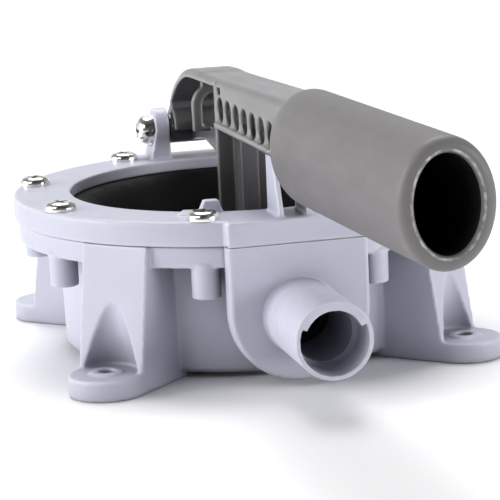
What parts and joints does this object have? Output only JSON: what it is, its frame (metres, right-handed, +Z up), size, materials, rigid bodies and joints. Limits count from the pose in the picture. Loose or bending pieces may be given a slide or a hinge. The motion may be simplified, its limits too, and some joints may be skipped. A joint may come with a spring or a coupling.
{
  "type": "manual bilge pump",
  "caption": "Lever-operated diaphragm bilge pump: round bowl on feet with opposed hose tails, clamp ring, rubber diaphragm and pivoted lever with a hollow grip.",
  "frame": {"origin": "centre of the four foot holes, on the plane the feet stand on", "axes": "+Z up through the feet's fixing pattern; outlet port and grip towards -Y, inlet port towards +Y, +X to the right seen from the outlet"},
  "size_m": [0.1642, 0.361, 0.1052],
  "materials": {
    "body_plastic": "moulded, fine satin",
    "lever_plastic": "glass-filled, fine grain",
    "grip_plastic": "soft matte",
    "rubber": "matte",
    "bright_steel": "polished",
    "plate_steel": "satin",
    "valve_plastic": "moulded",
    "bush_plastic": "natural"
  },
  "bodies": {
    "root": {"pump_body": "body_plastic", "clamp_ring": "body_plastic", "clamp_screws": "bright_steel", "diaphragm": "rubber", "outlet_port": "body_plastic", "inlet_port": "body_plastic", "outlet_gasket": "rubber", "inlet_gasket": "rubber", "outlet_valve_seat": "valve_plastic", "inlet_valve_seat": "valve_plastic", "outlet_flap_pin": "bright_steel", "inlet_flap_pin": "bright_steel", "pivot_bolt": "bright_steel", "pivot_washers": "bright_steel", "pivot_nut": "bright_steel"},
    "lever": {"lever": "lever_plastic", "pivot_bush": "bush_plastic", "grip": "grip_plastic", "upper_diaphragm_plate": "plate_steel", "lower_diaphragm_plate": "plate_steel", "plate_bolt": "bright_steel", "plate_washer": "bright_steel", "plate_nut": "bright_steel"},
    "outlet_flap": {"outlet_flap": "rubber"},
    "inlet_flap": {"inlet_flap": "rubber"}
  },
  "joints": [
    {"name": "lever_pivot", "type": "hinge", "parent": "root", "child": "lever", "pos_m": [0, 0.072, 0.0688], "axis": [-1, 0, 0], "range_deg": [0, 30], "deforming": ["diaphragm"]},
    {"name": "outlet_flap_hinge", "type": "hinge", "parent": "root", "child": "outlet_flap", "pos_m": [0, -0.07165, 0.0359], "axis": [-1, 0, 0], "range_deg": [0, 20]},
    {"name": "inlet_flap_hinge", "type": "hinge", "parent": "root", "child": "inlet_flap", "pos_m": [0, 0.06535, 0.0359], "axis": [-1, 0, 0], "range_deg": [0, 20]}
  ]
}
